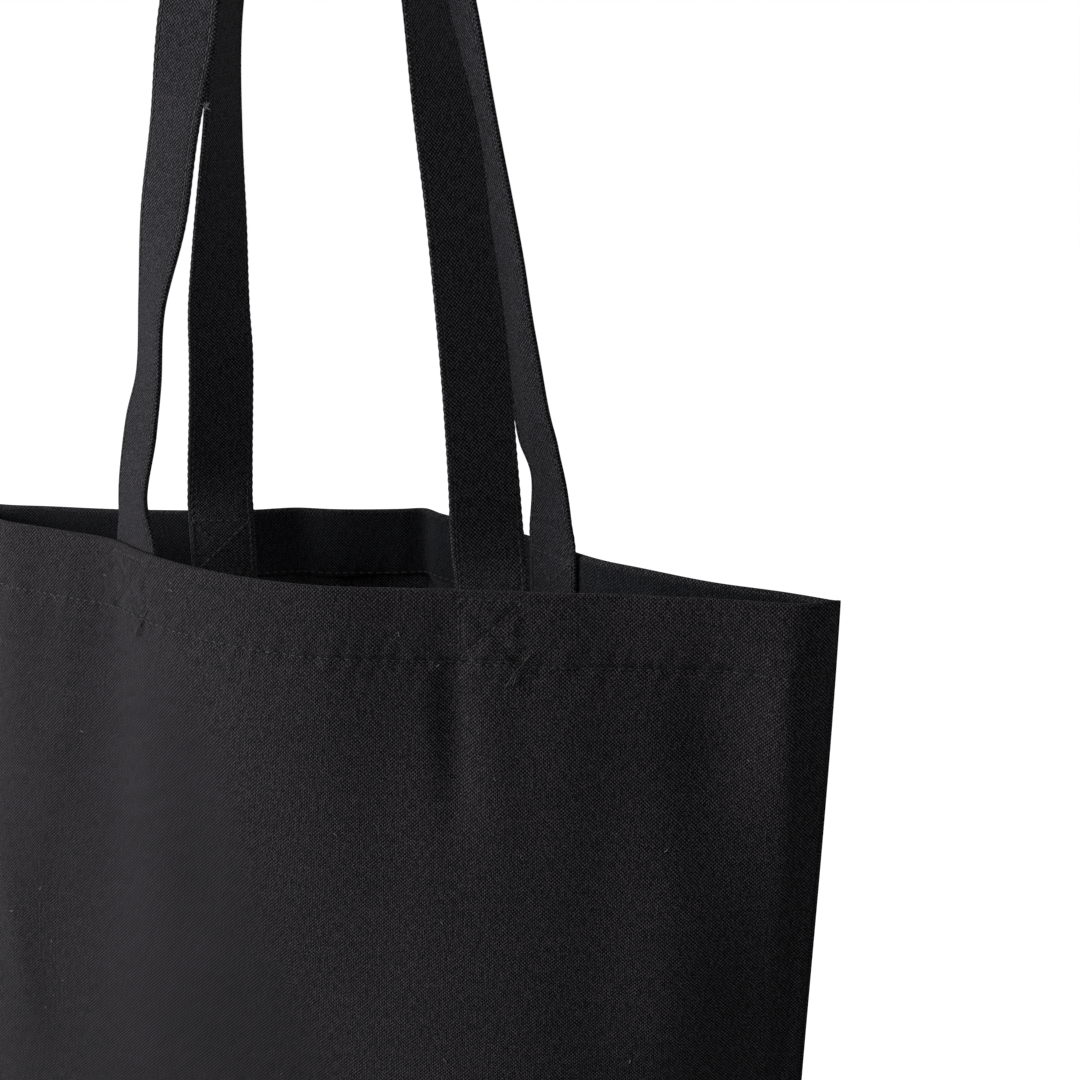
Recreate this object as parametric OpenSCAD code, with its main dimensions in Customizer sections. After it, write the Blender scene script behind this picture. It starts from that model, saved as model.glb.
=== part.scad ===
// Canvas tote bag with a boxed base and two long strap handles.
// Origin: centre of the base, on the surface it stands on. X runs along the mouth, -Y is the front, +Z is up.
// Every ply of cloth is an offset of one wall surface, so the plies follow each other and never cross.

/* [Bag] */
// Width of the bag laid flat, from side seam to side seam
flat_w = 380; // [360:5:400]
// Height of the walls, from the base to the mouth
wall_h = 420; // [400:5:440]
// Depth of the boxed base, front to back
base_d = 80; // [70:5:90]
// Straight distance between the side seams at the open mouth
mouth_w = 364; // [350:2:370]
// How far the walls bulge out half way up
belly = 6; // [0:1:10]

/* [Cloth] */
// Thickness of one ply of canvas
cloth_t = 0.7; // [0.5:0.05:0.8]
// Air left between two plies that are sewn together
ply_gap = 0.25; // [0.2:0.05:0.3]
// Depth of the hem that is turned down inside the mouth
hem_d = 28; // [24:1:34]
// Width of the seam allowances inside the bag
allowance = 10; // [6:1:12]

/* [Handles] */
// Distance of each handle's sewn ends from the middle of the panel
strap_x = 72; // [66:1:76]
// Width of the strap
strap_w = 25; // [22:1:28]
// Thickness of the strap, folded to four plies
strap_t = 2.4; // [2:0.1:2.6]
// Height of each handle's folding line above the mouth
fold_up = 12; // [10:1:14]

/* [Stitching] */
// Width of a row of thread
thread_w = 0.6; // [0.4:0.1:0.8]
// How far the thread stands proud of the cloth
thread_t = 0.3; // [0.2:0.05:0.4]
// Height of the box of stitches on each handle end
box_h = 22; // [20:1:23]

/* [Hidden] */

FRONT = -1;
BACK = 1;
LEFT = -1;
RIGHT = 1;

base_w = flat_w - base_d;
// Height over which the boxed section turns into the section of the mouth
box_rise = 150;
// How far the mouth's edge stands in front of, and behind, the line between the side seams,
// at nine even steps from the left seam to the right one
front_mouth = [0, 23.5, 28, 45, 50, 38, 25, 17, 0];
back_mouth = [0, 1.5, 10.5, 29, 49, 36.5, 15, 4, 0];

// Strips of cloth across one panel, and rows of them up the wall
wall_cols = 38;
wall_rows = 16;
// Offsets from the outside of the panel: hem, then strap
hem_outer = -cloth_t - ply_gap;
hem_inner = hem_outer - 2 * cloth_t;
strap_outer = hem_inner - 0.4;
strap_inner = strap_outer - strap_t;
// Half the gap left where the two panels meet in a seam
seam_gap = 0.05;
// Where the wall starts above the underside of the base, so that the base is one flat face
wall_foot = 0.2;
// How far the hem stops short of each side seam
hem_short = 13;
// Lowest point of a sewn handle end, below the mouth
end_down = hem_d + 2;
// Air between a handle and its sewn end at the folding line
fold_gap = 0.3;
// Distance of the edge stitching from the strap's edge
edge_inset = 1.6;
// Distance from the strap's edge to its box of stitches
box_inset = 1.5;
// Sections along one handle
route_steps = 76;
// Air between a thread and the cloth under it
thread_lift = 0.03;
// Share of a box's row that is left free at each corner
row_end = 0.04;
// How much further from the cloth the second diagonal of a box lies
crossing_rise = 0.1;
// Black cloth and thread, as they look under soft light
canvas = [0.035, 0.033, 0.036];
canvas_inside = [0.03, 0.029, 0.032];
strap = [0.034, 0.032, 0.036];
thread = [0.05, 0.05, 0.053];

// Handle routes from the left leg over the top to the right leg:
// [x, y, height above the mouth, turn of the strap's width from +X in degrees]
front_route = [
    [-74, -29, 20, -33], [-69.5, -27.5, 44, -28], [-65.5, -26, 63, -33], [-63, -24.5, 90, -30],
    [-57, -22, 120, -17], [-52, -20, 150, -18], [-46, -17, 190, -14], [-37, -15, 232, -45],
    [-21, -15, 270, -75], [0, -15, 285, -90], [21, -15, 270, -102], [36, -16, 232, -100],
    [42.5, -17, 190, -97], [50, -20, 150, -121], [54.5, -22, 120, -123], [60, -24.5, 80, -128],
    [65, -27, 40, -131], [67, -28.5, 20, -140]];
back_route = [
    [-64.5, 16.5, 20, 32], [-62.5, 16, 40, 45], [-60.5, 15.5, 62, 49], [-59, 15, 82, 53],
    [-56, 14.5, 108, 66], [-52, 14, 145, 84], [-46, 14, 190, 89], [-37, 14, 232, 90],
    [-21, 14, 270, 90], [0, 14, 285, 90], [21, 14, 270, 90], [37, 14, 232, 97],
    [47, 14, 190, 110], [53, 15, 150, 122], [57, 16.5, 110, 130], [61, 18, 77, 135],
    [64, 19.5, 53, 139], [66.5, 20.5, 39, 144], [69.5, 21.5, 24, 138]];

// Catmull-Rom curve through the points p, at u from 0 to len(p) - 1
function curve(p, u) =
    let (last = len(p) - 1, i = min(floor(u), last - 1), t = u - i,
        a = p[max(i - 1, 0)], b = p[i], c = p[i + 1], d = p[min(i + 2, last)])
    b + (c - a) * t / 2 + (2 * a - 5 * b + 4 * c - d) * t * t / 2
        + (3 * b - a - 3 * c + d) * t * t * t / 2;

function unit(v) = v / norm(v);
function blend(a, b, w) = a * (1 - w) + b * w;

// [x, depth] of the base's outline, at the share s of the panel's width
function base_outline(s) =
    let (run = s * flat_w, side = base_d / 2)
    run < side ? [-base_w / 2, run]
        : run > flat_w - side ? [base_w / 2, flat_w - run]
        : [run - flat_w / 2, side];

// [x, depth] of the mouth's outline at the share s
function mouth_outline(side, s) =
    [mouth_w * (s - 0.5), curve(side == FRONT ? front_mouth : back_mouth, 8 * s)];

// [x, depth] on the outside of a panel, at the share s of its width and the height z
function wall_outline(side, s, z) =
    let (plan = blend(base_outline(s), mouth_outline(side, s), sin(90 * min(z / box_rise, 1))),
        swell = belly * sin(180 * s) * sin(180 * z / wall_h))
    [plan.x, max(plan.y + swell, seam_gap)];

// The same place as [x, y]
function wall_plan(side, s, z) =
    let (plan = wall_outline(side, s, z))
    [plan.x, side * plan.y];

// The y half way between the two panels
function middle(s, z) = (wall_outline(BACK, s, z).y - wall_outline(FRONT, s, z).y) / 2;

// Point of the wall at the distance out from the outside of the panel (negative is inside).
// Near the seams, where the panels close up, the plies stop half way between them.
function wall_point(side, s, z, out) =
    let (step = 0.004, here = wall_plan(side, s, z),
        along = unit(wall_plan(side, min(s + step, 1), z) - wall_plan(side, max(s - step, 0), z)),
        x = here.x - side * out * along.y, y = here.y + side * out * along.x)
    [x, side * max(side * y, side * middle(s, z) + seam_gap), z];

// A patch of the wall between the shares s0 and s1 and the heights z0 and z1
function wall_patch(side, s0, s1, cols, z0, z1, rows, out) =
    [for (j = [0 : rows]) [for (i = [0 : cols])
        wall_point(side, s0 + (s1 - s0) * i / cols, z0 + (z1 - z0) * j / rows, out)]];

// Share of the panel's width for a distance x from its middle, at the mouth
function share(x) = 0.5 + x / mouth_w;

// Closed sheet between two grids of points of the same size
module sheet(top, under) {
    rows = len(top);
    cols = len(top[0]);
    count = rows * cols;
    points = [for (grid = [top, under], row = grid, p = row) p];
    function at(j, i) = j * cols + i;
    quads = [
        for (j = [0 : rows - 2], i = [0 : cols - 2])
            [at(j, i), at(j + 1, i), at(j + 1, i + 1), at(j, i + 1)],
        for (j = [0 : rows - 2], i = [0 : cols - 2])
            [count + at(j, i), count + at(j, i + 1), count + at(j + 1, i + 1), count + at(j + 1, i)],
        for (j = [0 : rows - 2])
            [at(j, 0), count + at(j, 0), count + at(j + 1, 0), at(j + 1, 0)],
        for (j = [0 : rows - 2])
            [at(j, cols - 1), at(j + 1, cols - 1), count + at(j + 1, cols - 1), count + at(j, cols - 1)],
        for (i = [0 : cols - 2])
            [at(0, i), at(0, i + 1), count + at(0, i + 1), count + at(0, i)],
        for (i = [0 : cols - 2])
            [at(rows - 1, i), count + at(rows - 1, i), count + at(rows - 1, i + 1), at(rows - 1, i + 1)]];
    polyhedron(points, [for (q = quads) each [[q[0], q[1], q[2]], [q[0], q[2], q[3]]]]);
}

// Sheet of cloth on a wall, between two distances from the outside of the panel.
// The grid that faces -Y comes first, so that every face points outwards.
module wall_sheet(side, s0, s1, cols, z0, z1, rows, outer, inner) {
    low_y = side == FRONT ? outer : inner;
    high_y = side == FRONT ? inner : outer;
    sheet(wall_patch(side, s0, s1, cols, z0, z1, rows, low_y),
        wall_patch(side, s0, s1, cols, z0, z1, rows, high_y));
}

// One panel: the wall and its half of the base
module panel(side) {
    inset = cloth_t / 2;
    union() {
        wall_sheet(side, 0, 1, wall_cols, wall_foot, wall_h, wall_rows, 0, -cloth_t);
        translate([inset - base_w / 2, side == FRONT ? inset - base_d / 2 : seam_gap, 0])
            cube([base_w - 2 * inset, base_d / 2 - inset - seam_gap, cloth_t]);
    }
}

module hem(side) {
    s0 = hem_short / flat_w;
    wall_sheet(side, s0, 1 - s0, wall_cols - 2, wall_h - hem_d, wall_h, 2, hem_outer, hem_inner);
}

// The two overlocked edges of a side seam, standing inwards from the seam
module side_seam(hand) {
    z0 = 6;
    z1 = wall_h - hem_d - 2;
    rows = 12;
    function edge(t, y) = [for (j = [0 : rows])
        let (z = z0 + (z1 - z0) * j / rows, x = wall_plan(FRONT, 1, z).x)
        [[hand * (x - (hand > 0 ? t : 0.5)), y, z], [hand * (x - (hand > 0 ? 0.5 : t)), y, z]]];
    sheet(edge(allowance, -cloth_t), edge(allowance, cloth_t));
}

module bottom_seam_plies() {
    length = base_w - 2 * allowance - 4;
    translate([-length / 2, -cloth_t, cloth_t - 0.1])
        cube([length, 2 * cloth_t, allowance]);
}

module corner_seam(hand) {
    length = base_d - 4;
    x = hand > 0 ? base_w / 2 - allowance - 1 : 1 - base_w / 2;
    translate([x, -length / 2, cloth_t - 0.1])
        cube([allowance, length, 2 * cloth_t]);
}

// Where a handle leaves the wall at the mouth: [x, y, 0, turn of the rim]
function rim_start(side, hand) =
    let (s = share(hand * strap_x), mid = (strap_outer + strap_inner) / 2,
        p = wall_point(side, s, wall_h, mid),
        along = wall_plan(side, s + 0.03, wall_h) - wall_plan(side, s - 0.03, wall_h))
    [p.x, p.y, 0, atan2(along.y, along.x)];

// The whole route of a handle. The turn runs on without a jump, so the right end is half a turn away.
function route(side) =
    let (a = rim_start(side, LEFT), b = rim_start(side, RIGHT), half = side == FRONT ? -180 : 180)
    concat([a], side == FRONT ? front_route : back_route, [[b.x, b.y, b.z, b[3] + half]]);

// Point across the strap at the place u of its route: w along its width, t through its thickness
function strap_point(side, u, w, t) =
    let (p = route(side), last = len(p) - 1, q = curve(p, u),
        ahead = curve(p, min(u + 0.05, last)) - curve(p, max(u - 0.05, 0)),
        run = unit([ahead.x, ahead.y, ahead.z]), flat = [cos(q[3]), sin(q[3]), 0],
        wide = unit(flat - run * (flat * run)), face = cross(run, wide))
    [q.x, q.y, q.z + wall_h] + wide * w + face * t;

// Place on the route where a leg passes the height h above the mouth, near its end
function place_at(side, hand, h) =
    let (p = route(side), last = len(p) - 1)
    hand == LEFT ? fold_search(p, 0, 1, h, 0) : fold_search(p, last, last - 1, h, 0);

function fold_search(p, low, high, h, turns) =
    let (mid = (low + high) / 2)
    turns > 20 ? mid
        : curve(p, mid).z < h ? fold_search(p, mid, high, h, turns + 1)
        : fold_search(p, low, mid, h, turns + 1);

// Strip along a handle between two distances across it and two through it
module strap_strip(side, w0, w1, t0, t1) {
    u0 = place_at(side, LEFT, fold_up + fold_gap);
    u1 = place_at(side, RIGHT, fold_up + fold_gap);
    function grid(t) = [for (k = [0 : route_steps])
        let (u = u0 + (u1 - u0) * k / route_steps)
        [strap_point(side, u, w0, t), strap_point(side, u, w1, t)]];
    sheet(grid(t0), grid(t1));
}

module handle(side) {
    strap_strip(side, -strap_w / 2, strap_w / 2, -strap_t / 2, strap_t / 2);
}

// Rows of thread inside both long edges, on both faces
module edge_stitching(side) {
    edge = strap_w / 2 - edge_inset;
    for (w = [-edge, edge - thread_w], face = [-1, 1]) {
        low = face < 0 ? -strap_t / 2 - thread_lift - thread_t : strap_t / 2 + thread_lift;
        strap_strip(side, w, w + thread_w, low, low + thread_t);
    }
}

// Sewn end of a handle: flat against the hem, then free up to the folding line
module handle_end(side, hand) {
    cols = 4;
    rim = rim_start(side, hand);
    span = strap_w * cos(rim[3]) / mouth_w;
    function sewn(out) = [for (h = [-end_down, -end_down / 2, -1]) [for (i = [0 : cols])
        wall_point(side, share(hand * strap_x) + span * (i / cols - 0.5), wall_h + h, out)]];
    function free(t) = [for (h = [fold_up / 2, fold_up - fold_gap])
        let (u = place_at(side, hand, h))
        [for (i = [0 : cols]) strap_point(side, u, -hand * strap_w * (i / cols - 0.5), t)]];
    low_y = side == FRONT ? strap_outer : strap_inner;
    high_y = side == FRONT ? strap_inner : strap_outer;
    sheet(concat(sewn(low_y), free(-strap_t / 2)), concat(sewn(high_y), free(strap_t / 2)));
}

// A run of thread on a wall between two places [share of the width, height], at a distance out
module wall_thread(side, from, to, steps, out) {
    run = [(to.x - from.x) * flat_w, to.y - from.y];
    across = [run.y / flat_w, -run.x] / norm(run) * thread_w / 2;
    function grid(o) = [for (k = [0 : steps])
        let (p = blend(from, to, k / steps))
        [for (e = [-1, 1]) wall_point(side, p.x + e * across.x, p.y + e * across.y, o)]];
    low_y = side == FRONT ? out + thread_t : out;
    high_y = side == FRONT ? out : out + thread_t;
    sheet(grid(low_y), grid(high_y));
}

// The two threads of a lockstitch row: one outside the panel, one inside the hem
module hem_row(side) {
    z = wall_h - hem_d + 1.5;
    s0 = hem_short / flat_w;
    for (out = [thread_lift, hem_inner - thread_lift - thread_t])
        wall_thread(side, [s0, z], [1 - s0, z], wall_cols - 2, out);
}

// Box of stitches with a cross in it, through the panel, the hem and a handle end.
// Each row stops short of the corners, and the second diagonal passes over the first.
module box_stitching(side, hand) {
    half = (strap_w / 2 - box_inset) / mouth_w;
    mid = share(hand * strap_x);
    top = wall_h - 3;
    corners = [[mid - half, top], [mid + half, top], [mid + half, top - box_h], [mid - half, top - box_h]];
    rows = [[0, 1], [1, 2], [2, 3], [3, 0], [0, 2], [1, 3]];
    for (out = [thread_lift, strap_inner - 2 * thread_lift - thread_t], k = [0 : len(rows) - 1]) {
        from = corners[rows[k][0]];
        to = corners[rows[k][1]];
        over = k == 5 ? (out > 0 ? crossing_rise : -crossing_rise) : 0;
        wall_thread(side, blend(from, to, row_end), blend(from, to, 1 - row_end), 3, out + over);
    }
}

module front_panel() { color(canvas) panel(FRONT); }
module back_panel() { color(canvas) panel(BACK); }
module front_hem() { color(canvas_inside) hem(FRONT); }
module back_hem() { color(canvas_inside) hem(BACK); }
module left_side_seam() { color(canvas_inside) side_seam(LEFT); }
module right_side_seam() { color(canvas_inside) side_seam(RIGHT); }
module bottom_seam() { color(canvas_inside) bottom_seam_plies(); }
module left_corner_seam() { color(canvas_inside) corner_seam(LEFT); }
module right_corner_seam() { color(canvas_inside) corner_seam(RIGHT); }
module front_handle() { color(strap) handle(FRONT); }
module front_handle_left_end() { color(strap) handle_end(FRONT, LEFT); }
module front_handle_right_end() { color(strap) handle_end(FRONT, RIGHT); }
module front_handle_edge_stitching() { color(thread) edge_stitching(FRONT); }
module back_handle() { color(strap) handle(BACK); }
module back_handle_left_end() { color(strap) handle_end(BACK, LEFT); }
module back_handle_right_end() { color(strap) handle_end(BACK, RIGHT); }
module back_handle_edge_stitching() { color(thread) edge_stitching(BACK); }
module front_hem_stitching() { color(thread) hem_row(FRONT); }
module back_hem_stitching() { color(thread) hem_row(BACK); }
module front_left_box_stitching() { color(thread) box_stitching(FRONT, LEFT); }
module front_right_box_stitching() { color(thread) box_stitching(FRONT, RIGHT); }
module back_left_box_stitching() { color(thread) box_stitching(BACK, LEFT); }
module back_right_box_stitching() { color(thread) box_stitching(BACK, RIGHT); }

front_panel();
back_panel();
front_hem();
back_hem();
left_side_seam();
right_side_seam();
bottom_seam();
left_corner_seam();
right_corner_seam();
front_handle();
front_handle_left_end();
front_handle_right_end();
front_handle_edge_stitching();
back_handle();
back_handle_left_end();
back_handle_right_end();
back_handle_edge_stitching();
front_hem_stitching();
back_hem_stitching();
front_left_box_stitching();
front_right_box_stitching();
back_left_box_stitching();
back_right_box_stitching();
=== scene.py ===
"""Looks of a black canvas tote bag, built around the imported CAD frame."""

import math

import bmesh
import bpy
import numpy as np
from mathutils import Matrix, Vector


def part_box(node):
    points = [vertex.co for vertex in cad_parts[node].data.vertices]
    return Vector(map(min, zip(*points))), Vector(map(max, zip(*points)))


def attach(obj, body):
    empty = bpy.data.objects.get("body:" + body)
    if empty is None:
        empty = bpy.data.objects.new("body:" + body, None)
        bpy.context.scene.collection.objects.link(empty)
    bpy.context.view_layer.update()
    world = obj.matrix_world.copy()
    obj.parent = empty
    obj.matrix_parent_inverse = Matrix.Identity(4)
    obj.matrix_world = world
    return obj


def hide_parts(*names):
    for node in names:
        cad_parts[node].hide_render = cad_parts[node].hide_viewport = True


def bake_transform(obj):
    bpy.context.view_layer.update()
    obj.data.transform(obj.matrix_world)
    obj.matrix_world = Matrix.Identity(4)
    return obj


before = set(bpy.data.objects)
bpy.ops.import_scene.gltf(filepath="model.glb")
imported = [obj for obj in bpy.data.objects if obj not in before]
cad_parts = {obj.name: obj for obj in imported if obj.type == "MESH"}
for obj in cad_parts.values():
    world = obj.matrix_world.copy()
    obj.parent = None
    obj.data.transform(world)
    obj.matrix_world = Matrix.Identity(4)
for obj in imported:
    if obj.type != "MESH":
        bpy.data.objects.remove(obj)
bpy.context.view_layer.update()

# Shapes are worked out in millimetres, and turned into metres when a mesh is made.
# The camera and the lamps are placed in metres.
MM = 0.001
FRONT, BACK = -1, 1
LEFT, RIGHT = -1, 1
SIDES = {FRONT: "front", BACK: "back"}
HANDS = {LEFT: "left", RIGHT: "right"}

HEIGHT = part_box("front_panel")[1][2] / MM
FLAT_WIDTH = 380.0
BASE_WIDTH = 300.0
BASE_DEPTH = 80.0
# Thickness of one layer of canvas
CLOTH = 0.7
RIM_RADIUS = 1.175
BASE_RADIUS = 5.0
# Height where the boxed section has opened out to the section of the body
BODY_HEIGHT = 150.0

# The turned-down hem and its row of stitches, as depths below the mouth
HEM_DEPTH = 28.0
HEM_ROW = 26.5
HEM_STITCHES = 117
HEM_PITCH = FLAT_WIDTH / HEM_STITCHES
# Distances out from the outside of the panel, so a negative one is inside the bag:
# the two faces of the hem, the middle of a strap where it leaves the mouth, and of its sewn end
HEM_OUTER = -0.95
HEM_INNER = -2.35
STRAP_MIDDLE = -3.95
SEWN_MIDDLE = -3.5

STRAP_WIDTH = 25.0
STRAP_THICKNESS = 2.4
# X where the middle of each strap passes the mouth
STRAP_X = {(FRONT, LEFT): -73.0, (FRONT, RIGHT): 69.5, (BACK, LEFT): -66.0, (BACK, RIGHT): 74.5}
# A sewn end reaches this far below the mouth, and is pressed to this share of its thickness
STRAP_DOWN = 30.0
SEWN_SQUEEZE = 0.62
EDGE_PITCH = 3.0
EDGE_INSET = 1.9

# The box of stitches on a sewn end: depth of its top, height, half its width and stitch length
BOX_TOP = 3.2
BOX_HEIGHT = 22.0
BOX_HALF = 11.0
BOX_PITCH = 3.1

# Width, height and arch of one stitch, through the wall and along the edges of a strap
WALL_STITCH = (0.62, 0.5, 0.12)
EDGE_STITCH = (0.6, 0.46, 0.14)

# Offsets of the cloth coordinates, so that the weaves of pieces in one material don't line up
HEM_CLOTH = 500
SIDE_SEAM_CLOTH = 600
BOTTOM_SEAM_CLOTH = 700
CORNER_SEAM_CLOTH = 800
STRAP_BACK_CLOTH = 40

rng = np.random.default_rng(7)


# ---------------------------------------------------------------- camera, lights and floor

# Light from the surroundings on the cloth, near the horizon and above, and the floor's own glow
WORLD_LOW = 0.19
WORLD_HIGH = 0.12
FLOOR_GLOW = 0.95
FLOOR_HALF = 60.0


def add_camera():
    """The view of the photo, found by fitting the mouth, the right side seam and the straps."""
    camera = bpy.data.objects.new("camera", bpy.data.cameras.new("camera"))
    bpy.context.collection.objects.link(camera)
    camera.data.lens = 53.333
    camera.data.sensor_width = 36
    camera.location = (0.2629, -0.5063, HEIGHT * MM + 0.1845)
    camera.rotation_euler = (math.radians(72), 0, math.radians(20.3))
    bpy.context.scene.camera = camera


def add_area_light(name, location, target, size, energy, spread=180):
    """A round lamp at a place in metres, turned to the target. energy is in watts."""
    light = bpy.data.lights.new(name, "AREA")
    light.shape = "DISK"
    light.size = size
    light.energy = energy
    light.spread = math.radians(spread)
    lamp = bpy.data.objects.new(name, light)
    bpy.context.collection.objects.link(lamp)
    lamp.location = location
    aim = np.array(target, float) - np.array(location, float)
    lamp.rotation_euler = (
        math.atan2(math.hypot(aim[0], aim[1]), -aim[2]),
        0,
        math.atan2(aim[1], aim[0]) - math.pi / 2,
    )


def add_world():
    """A white studio: the camera sees white, and the cloth gets soft light, weaker from above."""
    world = bpy.data.worlds.new("studio")
    bpy.context.scene.world = world
    world.use_nodes = True
    tree = world.node_tree
    place = tree.nodes.new("ShaderNodeTexCoord")
    split = tree.nodes.new("ShaderNodeSeparateXYZ")
    ramp = tree.nodes.new("ShaderNodeValToRGB")
    ramp.color_ramp.elements[0].position = 0.03
    ramp.color_ramp.elements[0].color = (WORLD_LOW, WORLD_LOW, WORLD_LOW, 1)
    ramp.color_ramp.elements[1].position = 0.25
    ramp.color_ramp.elements[1].color = (WORLD_HIGH, WORLD_HIGH, WORLD_HIGH, 1)
    tree.links.new(place.outputs["Generated"], split.inputs[0])
    tree.links.new(split.outputs["Z"], ramp.inputs[0])
    rays = tree.nodes.new("ShaderNodeLightPath")
    mix = tree.nodes.new("ShaderNodeMixRGB")
    mix.inputs[2].default_value = (1, 1, 1, 1)
    tree.links.new(rays.outputs["Is Camera Ray"], mix.inputs[0])
    tree.links.new(ramp.outputs[0], mix.inputs[1])
    tree.links.new(mix.outputs[0], tree.nodes["Background"].inputs["Color"])


def add_floor():
    """A wide floor that the camera sees as nearly white."""
    mesh = bpy.data.meshes.new("floor")
    corners = [(x * FLOOR_HALF, y * FLOOR_HALF, 0) for x, y in ((-1, -1), (1, -1), (1, 1), (-1, 1))]
    mesh.from_pydata(corners, [], [(0, 1, 2, 3)])
    floor = bpy.data.objects.new("floor", mesh)
    bpy.context.collection.objects.link(floor)
    material = bpy.data.materials.new("floor")
    material.use_nodes = True
    shader = material.node_tree.nodes["Principled BSDF"]
    shader.inputs["Base Color"].default_value = (0.35, 0.35, 0.35, 1)
    shader.inputs["Roughness"].default_value = 0.9
    shader.inputs["Specular IOR Level"].default_value = 0.1
    shader.inputs["Emission Color"].default_value = (1, 1, 1, 1)
    rays = material.node_tree.nodes.new("ShaderNodeLightPath")
    glow = material.node_tree.nodes.new("ShaderNodeMath")
    glow.operation = "MULTIPLY"
    glow.inputs[1].default_value = FLOOR_GLOW
    material.node_tree.links.new(rays.outputs["Is Camera Ray"], glow.inputs[0])
    material.node_tree.links.new(glow.outputs[0], shader.inputs["Emission Strength"])
    mesh.materials.append(material)


bpy.context.scene.view_settings.view_transform = "Standard"
add_camera()
add_world()
add_floor()
add_area_light("key", location=(-1.6, -0.82, 0.85), target=(0, 0, 0.35), size=0.8, energy=52)
add_area_light("fill", location=(1.2, -0.9, 1.3), target=(0, 0, 0.68), size=0.4, energy=0.55, spread=40)

# ---------------------------------------------------------------- the wall of the bag


def smooth(t):
    """A soft step: 0 up to t = 0, and 1 from t = 1 on."""
    t = np.clip(t, 0, 1)
    return t * t * (3 - 2 * t)


def smooth_line(points, count):
    """A curve through the points, as count points evenly spaced along it."""
    p = np.array(points, float)
    gap = np.linalg.norm(np.diff(p, axis=0), axis=1)
    slope = np.diff(p, axis=0) / gap[:, None]
    inner = slope[:-1] * gap[1:, None] + slope[1:] * gap[:-1, None]
    inner /= (gap[:-1] + gap[1:])[:, None]
    tangent = np.vstack([slope[:1], inner, slope[-1:]])
    knots = np.concatenate([[0], np.cumsum(gap)])
    fine = np.linspace(0, knots[-1], 40 * len(p))
    k = np.clip(np.searchsorted(knots, fine, side="right") - 1, 0, len(gap) - 1)
    h = gap[k][:, None]
    t = (fine[:, None] - knots[k][:, None]) / h
    line = (
        (2 * t**3 - 3 * t**2 + 1) * p[k]
        + (t**3 - 2 * t**2 + t) * h * tangent[k]
        + (3 * t**2 - 2 * t**3) * p[k + 1]
        + (t**3 - t**2) * h * tangent[k + 1]
    )
    run = np.concatenate([[0], np.cumsum(np.linalg.norm(np.diff(line, axis=0), axis=1))])
    even = np.linspace(0, run[-1], count)
    return np.stack([np.interp(even, run, line[:, i]) for i in range(2)], 1)


def base_outline(side, count):
    """Half of a rectangle with rounded corners, from the left side seam to the right one."""
    radius = 12.0
    half_w = BASE_WIDTH / 2
    half_d = BASE_DEPTH / 2
    turn = np.radians(np.linspace(180, 270, 9))
    arc = np.stack([radius * np.cos(turn), radius * np.sin(turn)], 1)
    left = arc + [radius - half_w, radius - half_d]
    right = (left * [-1, 1])[::-1]
    points = np.vstack([[-half_w, 0], left, right, [half_w, 0]])
    run = np.concatenate([[0], np.cumsum(np.linalg.norm(np.diff(points, axis=0), axis=1))])
    even = np.linspace(0, run[-1], count)
    line = np.stack([np.interp(even, run, points[:, i]) for i in range(2)], 1)
    return line * [1, -side]


# Level sections of each panel's outside, as points (x, y) from the left side seam to the right one.
# BODY is at BODY_HEIGHT and MOUTH at the rim. Most points of MOUTH were read off the photo's edges
# and placed in this frame by a helper script, then thinned out and rounded to 0.5 mm.
MOUTH = {
    FRONT: [(-183, 0), (-163, -12.5), (-139, -23.5), (-113, -26), (-86, -29), (-64, -39), (-37, -47),
            (-11, -50), (13, -48.5), (40, -40.5), (67, -32), (90, -25.5), (110, -20), (137, -16.5),
            (161, -11), (177, -5.5), (183, 0)],
    BACK: [(-183, 0), (-154, -4), (-133, 0.5), (-107, 6), (-78, 15), (-54.5, 24.5), (-40, 33),
           (-26, 36), (-0.5, 45.5), (9, 50), (17, 46), (35, 40), (57, 32.5), (70, 26), (83, 18.5),
           (95, 13.5), (110, 10), (138, 4), (165, 2.5), (183, 0)],
}
BODY = {
    FRONT: [(-172, -10), (-171, -24), (-166, -38), (-150, -43), (-120, -47), (-60, -52), (0, -52),
            (60, -47), (110, -33), (150, -15), (179, -2)],
    BACK: [(-172, -10), (-175, 4), (-165, 20), (-130, 34), (-60, 45), (0, 47), (60, 43), (110, 32),
           (150, 15), (179, -2)],
}
# Points along every section, at even shares of its length
STEPS = 761
SHARES = np.linspace(0, 1, STEPS)
SECTIONS = {
    side: [base_outline(side, STEPS), smooth_line(BODY[side], STEPS), smooth_line(MOUTH[side], STEPS)]
    for side in (FRONT, BACK)
}


def plan(side, s, z):
    """x and y on the outside of a panel, at the share s of its width and the height z."""
    low = np.sin(np.clip(z / BODY_HEIGHT, 0, 1) * math.pi / 2)
    high = smooth((z - BODY_HEIGHT) / (HEIGHT - BODY_HEIGHT))
    place = []
    for i in range(2):
        base, body, mouth = (np.interp(s, SHARES, line[:, i]) for line in SECTIONS[side])
        under = base * (1 - low) + body * low
        place.append(under * (1 - high) + mouth * high)
    return place


# Seven random waves on each panel: [height, length, lean, start of the wave]
WAVES = {
    side: [
        (
            rng.uniform(0.12, 0.32),
            rng.uniform(45, 150),
            rng.uniform(-0.5, 0.5),
            rng.uniform(0, 2 * math.pi),
        )
        for _ in range(7)
    ]
    for side in (FRONT, BACK)
}
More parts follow.
